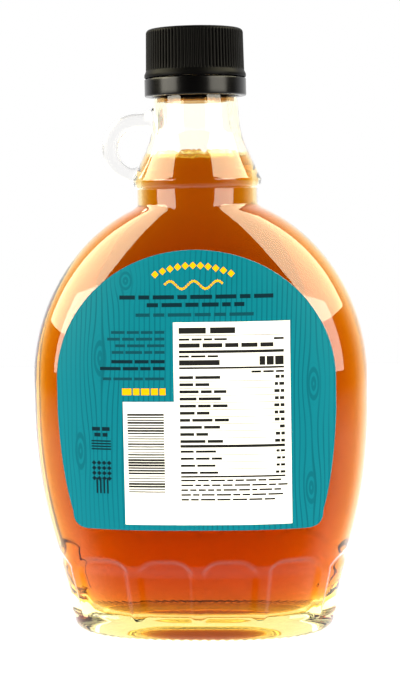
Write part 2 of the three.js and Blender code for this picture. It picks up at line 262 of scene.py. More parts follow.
for name, operand, operation in (("join handle", loop, "UNION"), ("hollow out", hollow, "DIFFERENCE")):
    cut = flask.modifiers.new(name, "BOOLEAN")
    cut.operation, cut.object, cut.solver = operation, operand, "MANIFOLD"
made_plain(flask)
for spare in (loop, hollow):
    bpy.data.objects.remove(spare)


class Wire:
    """A socket in a node tree: sums written with it add Math nodes, and made() adds any other node."""

    def __init__(self, tree, socket=None):
        self.tree, self.socket = tree, socket

    def made(self, kind, settings=None, sockets=None, out=0):
        node = self.tree.nodes.new(kind)
        for name, setting in (settings or {}).items():
            if name == "stops":
                for i, (place, colour) in enumerate(setting):
                    stop = node.color_ramp.elements[i] if i < 2 else node.color_ramp.elements.new(place)
                    stop.position, stop.color = place, colour
            else:
                setattr(node, name, setting)
        for key, value in (sockets or {}).items():
            if isinstance(value, Wire):
                self.tree.links.new(value.socket, node.inputs[key])
            else:
                node.inputs[key].default_value = value
        return Wire(self.tree, node.outputs[out]) if node.outputs else node

    def math(self, operation, *others):
        return self.made("ShaderNodeMath", {"operation": operation}, dict(enumerate((self, *others))))

    def __add__(self, other):
        return self.math("ADD", other)

    __radd__ = __add__

    def __sub__(self, other):
        return self.math("SUBTRACT", other)

    def __rsub__(self, other):
        return self.made("ShaderNodeMath", {"operation": "SUBTRACT"}, {0: other, 1: self})

    def __mul__(self, other):
        return self.math("MULTIPLY", other)

    __rmul__ = __mul__

    def __truediv__(self, other):
        return self.math("DIVIDE", other)

    def __pow__(self, other):
        return self.math("POWER", other)

    def __neg__(self):
        return self * -1.0

    def ramp(self, low, high):
        """Zero at low and one at high, eased between."""
        return self.made("ShaderNodeMapRange", {"interpolation_type": "SMOOTHSTEP"},
                         {"Value": self, "From Min": low, "From Max": high})

    def parts(self):
        node = self.made("ShaderNodeSeparateXYZ", None, {0: self}).socket.node
        return [Wire(self.tree, socket) for socket in node.outputs]


def finish_named(name, settings):
    """A new Principled finish with constant sockets set, and the wire that starts its own nodes."""
    finish = bpy.data.materials.new(name)
    finish.use_nodes = True
    shader = finish.node_tree.nodes["Principled BSDF"]
    for key, value in settings.items():
        shader.inputs[key].default_value = value
    place = Wire(finish.node_tree).made("ShaderNodeTexCoord", None, None, "Object")
    return finish, shader, place


def plug(wire, shader, key):
    wire.tree.links.new(wire.socket, shader.inputs[key])


def noise(place, scale, detail=2.0, roughness=0.5, stretch=(1.0, 1.0, 1.0)):
    moved = place.made("ShaderNodeMapping", None, {"Vector": place, "Scale": stretch})
    return place.made("ShaderNodeTexNoise", None,
                      {"Vector": moved, "Scale": scale, "Detail": detail, "Roughness": roughness}, "Fac")


def bump(height, strength, distance):
    return height.made("ShaderNodeBump", None, {"Height": height, "Strength": strength,
        "Distance": distance}, "Normal")


# The index is lower than that of real glass, which keeps the edges bright; the coat carries the reflections.
flint, flint_shader, place = finish_named("flint_glass", {
    "Base Color": (0.99, 0.996, 0.992, 1.0), "Roughness": 0.0, "IOR": 1.2, "Transmission Weight": 1.0,
    "Coat Weight": 1.0, "Coat Roughness": 0.0, "Coat IOR": 1.5})
plug(bump(noise(place, 90.0, 1.0), 0.35, 0.00012), flint_shader, "Normal")


def tinted_inside(finish, density, colour):
    """Gives a clear finish a volume that absorbs what its colour lacks."""
    tree = finish.node_tree
    volume = Wire(tree).made("ShaderNodeVolumeAbsorption", None,
        {"Density": density, "Color": (*colour, 1.0)})
    tree.links.new(volume.socket, tree.nodes["Material Output"].inputs["Volume"])


# The glass absorbs a little blue and green, which shows in the thick base and hardly in the wall.
tinted_inside(flint, 26.0, (1.0, 0.86, 0.0))
# Syrup nearly matches the glass that it wets, so those faces bend light only a little.
wetted, _, _ = finish_named("wetted_glass", {
    "Base Color": (1.0, 1.0, 1.0, 1.0), "Roughness": 0.0, "IOR": 1.08, "Transmission Weight": 1.0})
# The loop is the same clear glass; its grey colour here is painted shade, with a softer finish, so that it
# shows against white.
painted_grey_loop_glass, _, _ = finish_named("soft_loop_glass", {
    "Base Color": (0.77, 0.765, 0.76, 1.0), "Roughness": 0.3, "IOR": 1.2, "Transmission Weight": 1.0})
fill_height = 141.2
flask.data.materials.clear()
for finish in (flint, wetted, painted_grey_loop_glass):
    flask.data.materials.append(finish)
centres = np.array([face.center for face in flask.data.polygons]) / MM
half_width, half_depth, squareness = outline_at(centres[:, 2], 1.5, False)
spread = (np.abs(centres[:, 0]) / half_width) ** squareness + (np.abs(centres[:,
    1]) / half_depth) ** squareness
wet = (spread < 1.0) & (centres[:, 2] > 3.0) & (centres[:, 2] < fill_height)
half_width = outline_at(centres[:, 2], -0.25)[0]
looped = (centres[:, 0] < -half_width) & (centres[:, 2] > 130.0) & (np.abs(centres[:, 1]) < 6.0)
flask.data.polygons.foreach_set("material_index", wet.astype(int) + 2 * looped.astype(int))
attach(flask, "root")
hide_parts("glass_bottle")

# The syrup: clear amber sugar water, poured hot up to the bell of the neck. It wets the glass, so the
# piece reaches a little way into the wall and climbs it in a fine meniscus at the top.
wetting = 0.18
syrup_rings = bore_rings(fill_height + 0.55, -wetting, 160)
edge = syrup_rings[-1]
for share, drop in ((0.975, 0.14), (0.95, 0.3), (0.92, 0.42), (0.87, 0.52), (0.8, 0.55), (0.55, 0.55),
        (0.25, 0.55)):
    syrup_rings.append(np.column_stack([edge[:, 0] * share, edge[:, 1] * share, edge[:, 2] - drop]))
syrup = skinned("syrup", syrup_rings)
made_plain(syrup, 60.0)
amber, _, _ = finish_named("amber_syrup", {
    "Base Color": (0.93, 0.74, 0.4, 1.0), "Roughness": 0.0, "IOR": 1.001, "Transmission Weight": 1.0})
tinted_inside(amber, 260.0, (0.88, 0.7, 0.0))
syrup.data.materials.append(amber)
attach(syrup, "root")
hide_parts("maple_syrup")

# The foam: a ring of small bubbles that the filling leaves round the edge of the syrup, and above it a
# thin film of syrup that clings inside the neck under the cap.
def grown(piece, tree, values):
    """Runs a Geometry Nodes tree on a piece, its inputs set by identifier, and keeps the plain mesh."""
    modifier = piece.modifiers.new(tree.name, "NODES")
    modifier.node_group = tree
    for item in tree.interface.items_tree:
        if item.in_out == "INPUT" and item.name in values:
            modifier[item.identifier] = values[item.name]
    return made_plain(piece)


def new_tree(name, inputs):
    """An empty Geometry Nodes tree with named inputs, as wires by name, and its output node."""
    tree = bpy.data.node_groups.new(name, "GeometryNodeTree")
    tree.interface.new_socket("Geometry", in_out="OUTPUT", socket_type="NodeSocketGeometry")
    for title, kind in [("Geometry", "Geometry"), *inputs]:
        tree.interface.new_socket(title, in_out="INPUT", socket_type="NodeSocket" + kind)
    start = tree.nodes.new("NodeGroupInput")
    end = tree.nodes.new("NodeGroupOutput")
    return tree, {socket.name: Wire(tree, socket) for socket in start.outputs if socket.name}, end


def bare_piece(name):
    piece = bpy.data.objects.new(name, bpy.data.meshes.new(name))
    bpy.context.scene.collection.objects.link(piece)
    return piece


bubble_tree, pin, end = new_tree("foam_bubbles", [
    ("Count", "Int"), ("Ring", "Float"), ("Low", "Float"), ("High", "Float"), ("Lean", "Float"),
    ("Small", "Float"),
    ("Large", "Float"), ("Seed", "Int"), ("Foam", "Material")])
start = pin["Geometry"]
index = start.made("GeometryNodeInputIndex")


def chance(low, high, seed):
    """A value by chance for each point of the tree in hand."""
    return start.made("FunctionNodeRandomValue", {"data_type": "FLOAT"},
        {2: low, 3: high, "ID": index, "Seed": seed}, 1)


points = start.made("GeometryNodePoints", None, {"Count": pin["Count"]})
mostly_small = pin["Small"] + (pin["Large"] - pin["Small"]) * chance(0.0, 1.0, pin["Seed"]) ** 2.0
points = start.made("GeometryNodeStoreNamedAttribute", {"data_type": "FLOAT", "domain": "POINT"},
                    {"Geometry": points, "Name": "size", "Value": mostly_small})
size = start.made("GeometryNodeInputNamedAttribute", {"data_type": "FLOAT"}, {"Name": "size"})
turn = chance(0.0, 2.0 * math.pi, pin["Seed"] + 1)
rise = (pin["High"] - pin["Low"]) * chance(0.0, 1.0, pin["Seed"] + 2) ** 1.6
reach = pin["Ring"] - rise * pin["Lean"] - size * chance(1.1, 2.4, pin["Seed"] + 3)
spots = start.made("GeometryNodeSetPosition", None, {"Geometry": points, "Position": start.made(
    "ShaderNodeCombineXYZ", None, {0: turn.math("COSINE") * reach, 1: turn.math("SINE") * reach,
    2: pin["Low"] + rise})})
ball = start.made("GeometryNodeMeshUVSphere", None, {"Segments": 8, "Rings": 6, "Radius": 1.0})
set_out = start.made("GeometryNodeInstanceOnPoints", None,
    {"Points": spots, "Instance": ball, "Scale": size})
solid = start.made("GeometryNodeRealizeInstances", None, {0: set_out})
coated = start.made("GeometryNodeSetMaterial", None, {"Geometry": solid, "Material": pin["Foam"]})
bubble_tree.links.new(coated.socket, end.inputs[0])

foam_finish, _, _ = finish_named("pale_foam", {
    "Base Color": (1.0, 0.95, 0.66, 1.0), "Roughness": 0.1, "IOR": 1.12, "Transmission Weight": 0.95})
foam = grown(bare_piece("foam_ring"), bubble_tree, {
    "Count": 900, "Ring": 13.0 * MM, "Low": (fill_height - 0.3) * MM, "High": (fill_height + 1.5) * MM,
    "Lean": 0.5,
    "Small": 0.22 * MM, "Large": 0.75 * MM, "Seed": 4, "Foam": foam_finish})
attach(foam, "root")


def turned_ring(name, profile, columns):
    """A ring whose profile closes on itself."""
    count = len(profile)
    angles = np.arange(columns) * 2.0 * math.pi / columns
    points = [(r * math.cos(t) * MM, r * math.sin(t) * MM, z * MM) for r, z in profile for t in angles]
    faces = []
    for i in range(count):
        low, high = i * columns, (i + 1) % count * columns
        faces += [(low + j, low + (j + 1) % columns, high + (j + 1) % columns,
            high + j) for j in range(columns)]
    mesh = bpy.data.meshes.new(name)
    mesh.from_pydata(points, [], faces)
    mesh.update()
    piece = bpy.data.objects.new(name, mesh)
    bpy.context.scene.collection.objects.link(piece)
    return piece


film = turned_ring("syrup_film", [(9.47, 157.3), (9.47, 160.4), (9.12, 160.4), (9.2, 157.3)], 96)
made_plain(film)
film_finish, _, _ = finish_named("syrup_film", {
    "Base Color": (0.6, 0.38, 0.17, 1.0), "Roughness": 0.08, "IOR": 1.02, "Transmission Weight": 1.0})
film.data.materials.append(film_finish)
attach(film, "root")

# The screw cap: black plastic moulded with fine ribs to grip, a soft edge round a slightly domed top
# and a plain skirt that flares over the tamper band. It is screwed down on the neck.
cap_top, cap_low, cap_rib_low = 178.6, 164.5, 166.5
cap_ribs, cap_rib_depth = 84, 0.38


def turned(name, profile, columns):
    """A closed ring or cap turned about the flask's axis from radius and height pairs in millimetres."""
    angles = np.arange(columns) * 2.0 * math.pi / columns
    rings = [np.column_stack([r * np.cos(angles), r * np.sin(angles), np.full(columns, z)]) for r,
        z in profile]
    return skinned(name, rings)


def arc(centre_r, centre_z, radius, start, end, steps):
    """Points of a fillet in a turned profile, by its angles in degrees."""
    turns = np.radians(np.linspace(start, end, steps))
    return [(centre_r + radius * math.cos(t), centre_z + radius * math.sin(t)) for t in turns]


cap_profile = [(1.0, 174.9), (12.6, 174.9), (13.0, 174.5), (13.0, 165.6), (13.2, cap_low), (14.6, cap_low)]
cap_profile += arc(14.75, cap_low + 0.25, 0.25, -90.0, 0.0, 5)
cap_profile += [(15.0, cap_low + 0.8), (14.96, cap_low + 1.0), (14.72, cap_rib_low - 0.5),
    (14.58, cap_rib_low - 0.15)]
cap_profile += [(14.52, z) for z in (cap_rib_low, cap_rib_low + 0.12, cap_rib_low + 0.3, cap_rib_low + 0.6)]
cap_profile += [(14.5 - 0.2 * share, 167.2 + 10.0 * share) for share in (0.0, 0.25, 0.5, 0.75, 1.0)]
cap_profile += arc(13.1, cap_top - 1.2, 1.2, 0.0, 84.0, 9)
cap_profile += [(r, cap_top + 0.5 - 0.5 * (r / 12.9) ** 2) for r in (12.7, 11.0, 9.0, 6.5, 4.0, 1.5)]
cap = turned("screw_cap_ribbed", cap_profile, cap_ribs * 8)


# Ribs are pressed into the skirt by the angle round the axis: sharp valleys between rounded ridges.
rib_tree, pin, end = new_tree("grip_ribs", [
    ("Ribs", "Float"), ("Depth", "Float"), ("Low", "Float"), ("High", "Float"), ("Fade", "Float"),
    ("Plastic", "Material")])
spot = pin["Geometry"].made("GeometryNodeInputPosition")
x, y, z = spot.parts()
turn = y.made("ShaderNodeMath", {"operation": "ARCTAN2"}, {0: y, 1: x})
wave = (turn * pin["Ribs"] * 0.5).math("SINE").math("ABSOLUTE")
valley = (1.0 - wave) ** 2.0
radius = (x * x + y * y) ** 0.5
held = z.ramp(pin["Low"], pin["Low"] + pin["Fade"]) * (1.0 - z.ramp(pin["High"] - pin["Fade"], pin["High"]))
outer = radius.ramp(0.0134, 0.0139)
pull = valley * pin["Depth"] * held * outer * -1.0 / radius
offset = spot.made("ShaderNodeVectorMath", {"operation": "MULTIPLY"},
                   {0: spot, 1: spot.made("ShaderNodeCombineXYZ", None, {0: pull, 1: pull})})
ribbed = spot.made("GeometryNodeSetPosition", None, {"Geometry": pin["Geometry"], "Offset": offset})
solid = ribbed.made("GeometryNodeRealizeInstances", None, {0: ribbed})
coated = solid.made("GeometryNodeSetMaterial", None, {"Geometry": solid, "Material": pin["Plastic"]})
rib_tree.links.new(coated.socket, end.inputs[0])

black, black_shader, place = finish_named("black_plastic", {
    "IOR": 1.5, "Specular IOR Level": 0.06})
scuff = noise(place, 420.0, 4.0, 0.65)
cloud = noise(place, 60.0, 2.0, 0.5)
tone = place.made("ShaderNodeMix", {"data_type": "RGBA"},
                  {"Factor": scuff.ramp(0.55, 0.8) * 0.6, 6: (0.0007, 0.0007, 0.0009, 1.0),
                  7: (0.003, 0.003, 0.0036, 1.0)}, 2)
plug(tone, black_shader, "Base Color")
plug(0.3 + cloud * 0.16 + scuff * 0.08, black_shader, "Roughness")
plug(bump(noise(place, 1500.0, 2.0), 0.12, 0.00004), black_shader, "Normal")
grown(cap, rib_tree, {"Ribs": float(cap_ribs), "Depth": cap_rib_depth * MM, "Low": (cap_rib_low - 0.1) * MM,
                      "High": (cap_top - 0.5) * MM, "Fade": 0.7 * MM, "Plastic": black})
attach(cap, "root")
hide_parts("screw_cap")

# The tamper band: the plain glossy ring under the cap, of the same plastic, held to it by thin bridges
# that snap when the cap is first unscrewed.
band_low, band_high = 159.0, 164.15
band_profile = [(12.9, band_low + 0.5), *arc(13.3, band_low + 0.4, 0.4, 180.0, 270.0, 5)]
band_profile += arc(14.5, band_low + 0.5, 0.5, -90.0, 0.0, 6)
band_profile += [(15.0, band_low + 1.5), (15.0, band_high - 0.8),
    *arc(14.8, band_high - 0.2, 0.2, 0.0, 90.0, 4)]
band_profile += [(13.2, band_high), (12.9, band_high - 0.3)]
band_columns = 168
band = turned_ring("tamper_ring", band_profile, band_columns)
made_plain(band)
glossy, glossy_shader, place = finish_named("glossy_black_plastic", {
    "Base Color": (0.0007, 0.0007, 0.0009, 1.0), "IOR": 1.5, "Specular IOR Level": 0.32})
plug(0.17 + noise(place, 90.0, 3.0, 0.6) * 0.14, glossy_shader, "Roughness")
plug(bump(noise(place, 260.0, 2.0), 0.1, 0.00008), glossy_shader, "Normal")
band.data.materials.append(glossy)
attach(band, "root")
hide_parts("tamper_band")

bridge_tree, pin, end = new_tree("tamper_bridges", [
    ("Count", "Int"), ("Radius", "Float"), ("Height", "Float"), ("Size", "Vector"),
    ("Plastic", "Material")])
ring = pin["Geometry"].made("GeometryNodeMeshCircle", None,
    {"Vertices": pin["Count"], "Radius": pin["Radius"]})
bridge = ring.made("GeometryNodeMeshCube", None, {"Size": pin["Size"]})
spot = ring.made("GeometryNodeInputPosition")
facing = ring.made("FunctionNodeAlignRotationToVector", {"axis": "X"}, {"Vector": spot})
set_out = ring.made("GeometryNodeInstanceOnPoints", None,
    {"Points": ring, "Instance": bridge, "Rotation": facing})
lifted = ring.made("GeometryNodeTransform", None, {
    "Geometry": set_out, "Translation": ring.made("ShaderNodeCombineXYZ", None, {2: pin["Height"]})})
solid = ring.made("GeometryNodeRealizeInstances", None, {0: lifted})
coated = ring.made("GeometryNodeSetMaterial", None, {"Geometry": solid, "Material": pin["Plastic"]})
bridge_tree.links.new(coated.socket, end.inputs[0])

bridges = grown(bare_piece("tamper_bridges"), bridge_tree, {
    "Count": 14, "Radius": 13.9 * MM, "Height": 164.32 * MM, "Size": (0.0014, 0.0012, 0.0006),
    "Plastic": black})
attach(bridges, "root")

# The labels: satin printed stock glued to both broad faces, arched above like the shoulder. Teal with a
# printed wood grain; the near one carries a white panel with ruled rows, the far one an ornament.
label_low, label_high, label_half, label_widest, label_arch_from = 34.3, 114.6, 40.4, 68.0, 77.5
label_foot_half, label_corner = 36.4, 4.8
label_side = label_low + 0.46 * (label_widest - label_low)


def bent(start, control, finish, steps):
    """Points of a curve with one control point."""
    t = np.linspace(0.0, 1.0, steps)[:, None]
    return (1 - t) ** 2 * np.array(start) + 2 * t * (1 - t) * np.array(control) + t * t * np.array(finish)


turns = np.linspace(0.0, math.pi / 2.0, 60)
label_edge = np.vstack([
    bent((label_foot_half - label_corner, label_low), (label_foot_half, label_low),
         (label_foot_half, label_low + label_corner), 24),
    bent((label_foot_half, label_low + label_corner), (label_half - 0.8, label_side),
    (label_half, label_widest), 24)[1:],
    np.column_stack([label_half * np.cos(turns),
                     label_arch_from + (label_high - label_arch_from) * np.sin(turns)])])
label_columns = 72


def label_sheet(name, side, share, pivot, finishes):
    """The label's sheet: its printed and glued faces follow the body, and a rim closes it."""
    rows = label_edge[:-1] * share + (0.0, pivot * (1.0 - share))
    shares = np.linspace(-1.0, 1.0, label_columns + 1)
    points = []
    for offset in (0.12, -0.1):
        width, depth, square = outline_at(rows[:, 1], -offset)
        x = rows[:, :1] * shares[None, :]
        ratio = np.clip(np.abs(x) / width[:, None], 0.0, 1.0)
        y = -side * depth[:, None] * (1.0 - ratio ** square[:, None]) ** (1.0 / square[:, None])
        z = np.repeat(rows[:, 1:], label_columns + 1, axis=1)
        points.append(np.dstack([x * side, y, z]).reshape(-1, 3))
    points = np.vstack(points) * MM
    wide = label_columns + 1
    high = len(rows)
    back = wide * high
    faces = []
    for i in range(high - 1):
        for j in range(label_columns):
            a, b = i * wide + j, (i + 1) * wide + j
            faces.append((a, a + 1, b + 1, b))
            faces.append((back + a, back + b, back + b + 1, back + a + 1))
    glued = np.zeros(len(faces), int)
    glued[1::2] = 1
    border = list(range(wide)) + [i * wide + wide - 1 for i in range(1, high)]
    border += [(high - 1) * wide + j for j in range(wide - 2, -1,
        -1)] + [i * wide for i in range(high - 2, 0, -1)]
    faces += [(a, back + a, back + b, b) for a, b in zip(border, border[1:] + border[:1])]
    mesh = bpy.data.meshes.new(name)
    mesh.from_pydata(points.tolist(), [], faces)
    for finish in finishes:
        mesh.materials.append(finish)
    mesh.polygons.foreach_set("material_index", np.append(glued, np.ones(len(border), int)))
    mesh.update()
    piece = bpy.data.objects.new(name, mesh)
    bpy.context.scene.collection.objects.link(piece)
    return made_plain(piece)


def grain_finish(name, knots):
    """Teal stock printed with wood grain: wandering upright lines that part round almond knots."""
    finish, shader, place = finish_named(name, {"IOR": 1.45, "Specular IOR Level": 0.04})
    x, _, z = place.parts()
    x, z = x * 1000.0, z * 1000.0
    drift = noise(place, 26.0, 2.0, 0.5, (1.0, 1.0, 0.3))
    field = x + drift * 9.0
    rings = None
    for knot_x, knot_z, knot_wide, knot_high in knots:
        off_x, off_z = x - knot_x, z - knot_z
        far = ((off_x / knot_wide) ** 2.0 + (off_z / knot_high) ** 2.0) ** 0.5
        near = (far * far * -0.55).math("EXPONENT")
        field = field - off_x * near * 0.8
        inside = 1.0 - far.ramp(0.8, 1.0)
        ring = (far * 2.4).math("FRACT").math("PINGPONG", 0.5).ramp(0.12, 0.3) * inside
        rings = ring if rings is None else rings + ring
    line = (field / 1.5).math("FRACT").math("PINGPONG", 0.5).ramp(0.05, 0.2)
    fade = noise(place, 55.0, 2.0, 0.5, (1.0, 1.0, 0.2)).ramp(0.35, 0.6)
    mask = (1.0 - line) * (0.35 + fade * 0.65)
    mask = mask.math("MAXIMUM", rings * 0.8)
    tone = place.made("ShaderNodeMix", {"data_type": "RGBA"}, {
        "Factor": mask * 0.75, 6: (0.002, 0.133, 0.19, 1.0), 7: (0.001, 0.074, 0.11, 1.0)}, 2)
    plug(tone, shader, "Base Color")
    plug(0.42 + noise(place, 700.0, 3.0) * 0.14, shader, "Roughness")
    plug(bump(noise(place, 2200.0, 2.0), 0.1, 0.00003), shader, "Normal")
    return finish


paper_back, _, _ = finish_named("paper_back", {"Base Color": (0.86, 0.84, 0.8, 1.0), "Roughness": 0.7})
facts_label = label_sheet("facts_label_sheet", 1.0, 1.0, 0.0, [grain_finish("teal_grain_near", [
    (-27.0, 84.0, 2.6, 7.0), (34.0, 76.0, 2.2, 6.5), (-19.5, 106.0, 2.6, 3.6),
    (-33.5, 57.0, 2.2, 7.5), (33.0, 46.0, 2.2, 6.5)]), paper_back])
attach(facts_label, "root")
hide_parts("facts_label")

rear_share, rear_pivot = 0.76, 66.25
plain_label = label_sheet("plain_label_sheet", -1.0, rear_share, rear_pivot,
    [grain_finish("teal_grain_far", [
    (-22.0, 84.0, 2.6, 6.0), (24.0, 66.0, 2.4, 7.0), (-25.0, 54.0, 2.2, 6.0)]), paper_back])
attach(plain_label, "root")
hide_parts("plain_label")

# The print: flat inks in plain fields, rules, rows of bars and diamonds, all set out by one tree. Bars of
# chance length fill each line and are laid on the sheet by a ray, outer side proud and inner side sunk.
print_tree, pin, end = new_tree("printed_rows", [
    ("Sheet", "Object"), ("Side", "Float"), ("Rows", "Int"), ("Pitch", "Float"), ("Marks", "Int"),
    ("Left", "Float"),
    ("Top", "Float"), ("Line", "Float"), ("Align", "Float"), ("Short", "Float"), ("Long", "Float"),
    ("Gap", "Float"),
    ("Height", "Float"), ("Spread", "Float"), ("Arch", "Float"), ("Swing", "Float"), ("Waves", "Float"),
    ("Turn", "Float"), ("Cuts", "Int"), ("Lift", "Float"), ("Seed", "Int"), ("Ink", "Material")])
start = pin["Geometry"]
points = start.made("GeometryNodePoints", None, {"Count": pin["Rows"] * pin["Marks"]})
index = start.made("GeometryNodeInputIndex")


def kept(points, name, value):
    stored = start.made("GeometryNodeStoreNamedAttribute", {"data_type": "FLOAT", "domain": "POINT"},
                        {"Geometry": points, "Name": name, "Value": value})
    return stored, start.made("GeometryNodeInputNamedAttribute", {"data_type": "FLOAT"}, {"Name": name})


def running(value, group, out):
    return start.made("GeometryNodeAccumulateField", {"data_type": "FLOAT"},
        {0: value, "Group ID": group}, out)


points, row = kept(points, "row", (index / pin["Marks"]).math("FLOOR"))
points, length = kept(points, "length", chance(pin["Short"], pin["Long"], pin["Seed"]))
points, height = kept(points, "height", pin["Height"] * chance(1.0 - pin["Spread"], 1.0 + pin["Spread"],
    pin["Seed"] + 7))
points, room = kept(points, "room", pin["Line"] + 0.00001)
over = start.made("FunctionNodeCompare", {"data_type": "FLOAT", "operation": "GREATER_THAN"},
                  {0: running(length + pin["Gap"], row, "Leading") - pin["Gap"], 1: room})
points = start.made("GeometryNodeDeleteGeometry", {"domain": "POINT"},
    {"Geometry": points, "Selection": over})
begin = running(length + pin["Gap"], row, "Trailing")
total = running(length + pin["Gap"], row, "Total") - pin["Gap"]
across = pin["Left"] + pin["Align"] * (pin["Line"] - total) + begin + length * 0.5
along = (across - pin["Left"]) / pin["Line"]
bow = (along * 2.0 - 1.0) ** 2.0 * pin["Arch"]
wave = (along * pin["Waves"] * (2.0 * math.pi)).math("SINE") * pin["Swing"]
spots = start.made("GeometryNodeSetPosition", None, {"Geometry": points, "Position": start.made(
    "ShaderNodeCombineXYZ", None, {0: across, 2: pin["Top"] - row * pin["Pitch"] - bow + wave})})
mark = start.made("GeometryNodeMeshCube", None, {
    "Size": (1.0, 1.0, 1.0), "Vertices X": pin["Cuts"], "Vertices Y": 2, "Vertices Z": pin["Cuts"]})
set_out = start.made("GeometryNodeInstanceOnPoints", None, {
    "Points": spots, "Instance": mark, "Rotation": start.made("ShaderNodeCombineXYZ", None,
    {1: pin["Turn"]}),
    "Scale": start.made("ShaderNodeCombineXYZ", None, {0: length, 1: 0.001, 2: height})})
solid = start.made("GeometryNodeRealizeInstances", None, {0: set_out})
px, py, pz = start.made("GeometryNodeInputPosition").parts()
sheet = start.made("GeometryNodeObjectInfo", None, {"Object": pin["Sheet"]}, "Geometry")
landed = start.made("GeometryNodeRaycast", None, {
    "Target Geometry": sheet, "Ray Length": 0.1,
    "Source Position": start.made("ShaderNodeCombineXYZ", None,
    {0: px * pin["Side"], 1: pin["Side"] * -0.05, 2: pz}),
    "Ray Direction": start.made("ShaderNodeCombineXYZ", None, {1: pin["Side"]})}, "Hit Position")
hx, hy, hz = landed.parts()
sunk = py.math("GREATER_THAN", 0.0)
proud = (sunk * (pin["Lift"] + 0.00004) - pin["Lift"]) * pin["Side"]
laid = start.made("GeometryNodeSetPosition", None, {"Geometry": solid, "Position": start.made(
    "ShaderNodeCombineXYZ", None, {0: hx, 1: hy + proud, 2: hz})})
inked = start.made("GeometryNodeSetMaterial", None, {"Geometry": laid, "Material": pin["Ink"]})
print_tree.links.new(inked.socket, end.inputs[0])


def ink(name, colour):
    finish, shader, place = finish_named(name, {"Base Color": (*colour, 1.0), "IOR": 1.45,
        "Specular IOR Level": 0.04})
    plug(0.4 + noise(place, 700.0, 3.0) * 0.14, shader, "Roughness")
    return finish


white, black_ink = ink("white_ink", (0.82, 0.82, 0.82)), ink("black_ink", (0.012, 0.012, 0.013))
navy, deep_teal = ink("navy_ink", (0.002, 0.017, 0.028)), ink("deep_teal_ink", (0.003, 0.05, 0.075))
yellow = ink("yellow_ink", (0.8, 0.35, 0.002))


def printed(name, sheet, side, finish, left, top, line, height, rows=1, pitch=0.0, marks=1, short=None,
        long=None, **more):
    """One block of print in millimetres: rows of marks that start at left and top, each line long."""
    short = line if short is None else short
    sizes = {"Left": left, "Top": top, "Line": line, "Height": height, "Pitch": pitch, "Short": short,
             "Long": short if long is None else long, "Gap": more.pop("gap", 0.6),
             "Arch": more.pop("arch", 0.0),
             "Swing": more.pop("swing", 0.0), "Lift": more.pop("lift", 0.03)}
    values = {key: value * MM for key, value in sizes.items()}
    values.update({"Sheet": sheet, "Side": side, "Rows": rows, "Marks": marks, "Ink": finish,
        "Align": 0.0, "Spread": 0.0,
                   "Waves": 1.0, "Turn": 0.0, "Cuts": 3, "Seed": len(bpy.data.objects)})
    values.update({key.title(): value for key, value in more.items()})
    piece = grown(bare_piece(name), print_tree, values)
    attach(piece, "root")


near = (facts_label, 1.0)
printed("panel_tall", *near, white, -5.7, 65.06, 33.17, 58.2, cuts=40)
printed("panel_low", *near, white, -20.5, 53.78, 14.9, 35.6, cuts=24)
printed("panel_title", *near, black_ink, -4.1, 91.8, 22.9, 1.7, marks=4, short=6.0, long=12.0, gap=1.2,
        lift=0.06)
printed("panel_small", *near, black_ink, -4.1, 89.3, 14.8, 0.6, marks=5, short=1.8, long=4.6, lift=0.06)
printed("panel_small_end", *near, black_ink, 20.2, 89.3, 5.5, 0.6, marks=2, short=1.8, long=3.2,
        align=1.0, lift=0.06)
printed("panel_bold", *near, black_ink, -4.1, 87.6, 29.8, 1.2, marks=7, short=3.4, long=6.6, gap=0.8,
        lift=0.06)
printed("panel_note", *near, black_ink, -4.1, 84.5, 12.8, 0.6, marks=5, short=1.8, long=4.6, lift=0.06)
printed("panel_large", *near, black_ink, -4.1, 82.7, 11.6, 1.5, marks=1, lift=0.06)
printed("panel_figure", *near, black_ink, 18.2, 83.1, 7.4, 2.5, marks=3, short=1.4, long=2.6, gap=0.4,
        align=1.0, lift=0.06)
printed("panel_heading", *near, black_ink, 16.2, 80.0, 9.5, 0.6, marks=4, short=1.2, long=3.4, align=1.0,
        lift=0.06)
for name, top, thick in (("hair", 90.4, 0.15), ("thick", 85.8, 0.8), ("medium", 81.2, 0.55),
                         ("lower_thick", 58.8, 0.8), ("lower_medium", 50.0, 0.5)):
    printed("rule_" + name, *near, black_ink, -4.1, top, 29.8, thick, cuts=20, lift=0.06)
printed("rules_upper", *near, black_ink, -4.1, 77.45, 29.8, 0.12, rows=9, pitch=2.035, cuts=20, lift=0.06)
printed("rules_lower", *near, black_ink, -4.1, 56.3, 29.8, 0.12, rows=3, pitch=2.035, cuts=20, lift=0.06)
printed("rows_upper", *near, black_ink, -4.1, 78.5, 15.0, 0.85, rows=10, pitch=2.035, marks=3, short=2.6,
        long=7.6, lift=0.06)
printed("rows_upper_end", *near, black_ink, 22.7, 78.5, 3.0, 0.9, rows=10, pitch=2.035, marks=2,
        short=0.9, long=1.6,
        gap=0.3, align=1.0, lift=0.06)
printed("rows_lower", *near, black_ink, -4.1, 57.25, 13.0, 0.65, rows=4, pitch=2.035, marks=3, short=2.6,
        long=6.6, lift=0.06)
printed("rows_lower_end", *near, black_ink, 22.9, 57.25, 2.8, 0.7, rows=4, pitch=2.035, marks=2,
        short=0.8, long=1.4,
        gap=0.3, align=1.0, lift=0.06)
printed("fine_rows", *near, black_ink, -4.1, 48.9, 30.4, 0.5, rows=5, pitch=1.39, marks=10, short=1.4,
        long=4.4, lift=0.06)
printed("ladder", *near, black_ink, -19.3, 67.9, 10.6, 0.4, rows=30, pitch=0.77, spread=0.5, cuts=9,
        lift=0.06)
printed("bead_arch", *near, yellow, -11.6, 110.2, 23.4, 1.5, marks=11, short=1.5, gap=0.68, arch=2.8,
        turn=math.pi / 4.0)
printed("bead_wave", *near, yellow, -8.2, 104.7, 17.0, 0.62, marks=28, short=0.62, gap=-0.02, swing=1.1,
        waves=2.5,
        turn=math.pi / 4.0)
